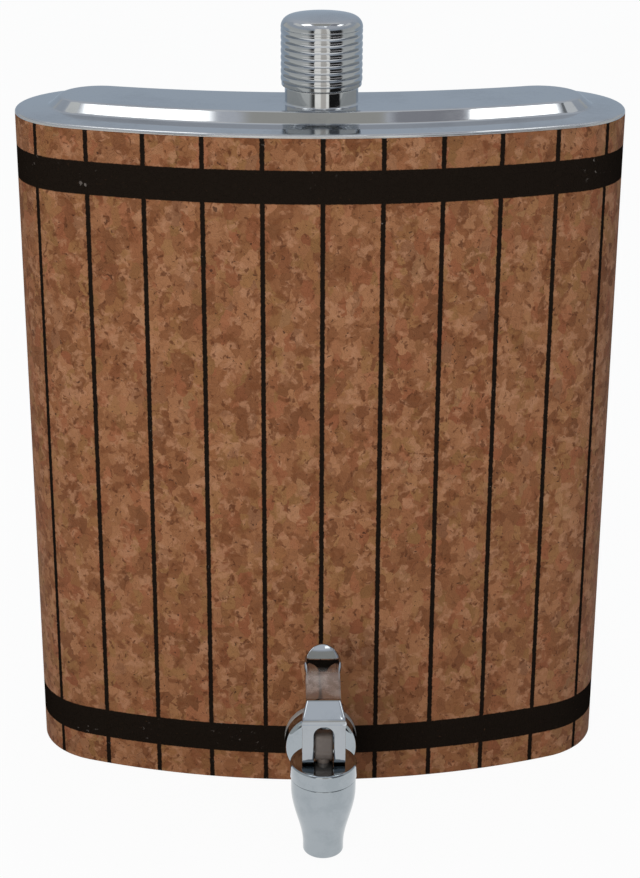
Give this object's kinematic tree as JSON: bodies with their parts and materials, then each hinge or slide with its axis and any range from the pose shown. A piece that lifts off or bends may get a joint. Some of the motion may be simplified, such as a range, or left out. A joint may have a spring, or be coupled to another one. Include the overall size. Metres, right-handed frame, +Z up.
{
  "type": "flask dispenser",
  "caption": "Drink dispenser shaped like a big hip flask: a bowed steel tank wrapped in barrel-printed cork, with a ribbed screw cap on its neck and a sprung lever tap low on the front.",
  "frame": {"origin": "on the table under the middle of the tank", "axes": "+Z up, -Y to the front where the tap is, +X to the right as seen from the front"},
  "size_m": [0.24, 0.149, 0.3165],
  "materials": {
    "steel": "mirror-polished stainless steel",
    "chrome": "bright chrome plating",
    "cork": "matte pressed cork with printed staves and hoops",
    "silicone": "matte grey silicone",
    "dark_plastic": "dark moulded plastic",
    "white_plastic": "white moulded plastic"
  },
  "bodies": {
    "flask": {"flask_shell": "steel", "top_plate": "steel", "base_plate": "steel", "neck": "steel", "cork_wrap": "cork", "tap_body": "chrome", "outer_washer": "silicone", "inner_washer": "silicone", "tap_nut": "white_plastic", "bonnet": "chrome", "bonnet_gasket": "silicone", "stem_seal": "silicone", "seal_retainer": "steel", "closing_spring": "steel"},
    "cap_seal": {"cap_liner": "silicone"},
    "cap": {"cap_shell": "steel", "cap_insert": "white_plastic"},
    "stem": {"valve_stem": "dark_plastic", "valve_plug": "silicone", "spring_seat": "steel", "lever_pin": "steel"},
    "lever": {"lever": "chrome"}
  },
  "joints": [
    {"name": "cap_rise", "type": "slide", "parent": "flask", "child": "cap_seal", "axis": [0, 0, 1], "range_m": [0, 0.024]},
    {"name": "cap_turn", "type": "hinge", "parent": "cap_seal", "child": "cap", "pos_m": [0, 0, 0.3], "axis": [0, 0, 1], "range_deg": [0, 2160]},
    {"name": "stem_rise", "type": "slide", "parent": "flask", "child": "stem", "axis": [0, 0, 1], "range_m": [0, 0.0021], "deforming": ["closing_spring"]},
    {"name": "lever_turn", "type": "hinge", "parent": "stem", "child": "lever", "pos_m": [0, -0.08903, 0.04665], "axis": [1, 0, 0], "range_deg": [0, 70], "stiffness_Nm_per_rad": 0.002364, "springref_deg": -133.33}
  ],
  "couplings": [
    {"joint": "cap_rise", "follows": "cap_turn", "m_per_rad": 0.00063662},
    {"joint": "stem_rise", "follows": "lever_turn", "m_per_rad": 0.0017189}
  ]
}
